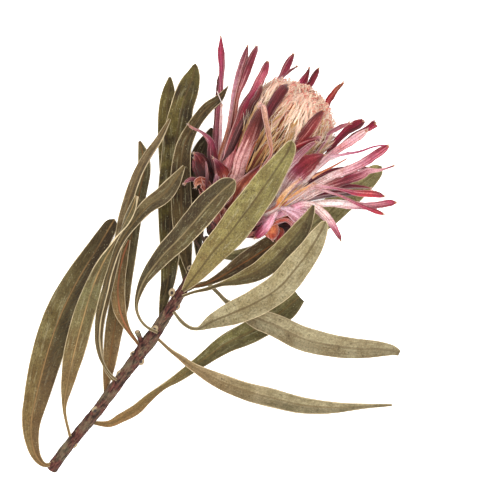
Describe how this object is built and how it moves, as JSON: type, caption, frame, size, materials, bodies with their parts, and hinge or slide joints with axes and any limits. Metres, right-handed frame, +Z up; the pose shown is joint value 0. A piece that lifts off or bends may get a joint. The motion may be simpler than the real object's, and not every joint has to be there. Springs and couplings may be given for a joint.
{
  "type": "cut protea flower",
  "caption": "Dried cut protea lying on its side: an open head of pointed bracts round a dome of florets, on a woody stem with long leathery leaves.",
  "frame": {"origin": "on the surface that the flower lies on, under the middle of its bounding box", "axes": "+X from the cut end of the stem to the flower, +Z up from the surface, +Y to the left of the stem as seen from above"},
  "size_m": [0.2928, 0.2336, 0.1207],
  "materials": {
    "bark": "dry, rough, reddish-brown bark with grey-green patches",
    "leaf": "dry, matt, olive-brown leaf with a pale margin",
    "bract": "dry, papery, crimson to pale pink, with fine hairs",
    "floret": "soft, silky, cream-peach tufts"
  },
  "bodies": {
    "root": {"stem": "bark", "leaf_01": "leaf", "leaf_02": "leaf", "leaf_03": "leaf", "leaf_04": "leaf", "leaf_05": "leaf", "leaf_06": "leaf", "leaf_08": "leaf", "leaf_09": "leaf", "leaf_10": "leaf", "leaf_11": "leaf", "leaf_12": "leaf", "leaf_13": "leaf", "leaf_14": "leaf", "leaf_15": "leaf", "leaf_16": "leaf", "leaf_17": "leaf", "leaf_18": "leaf", "leaf_19": "leaf", "leaf_20": "leaf", "bracts": "bract", "florets": "floret"}
  },
  "joints": []
}
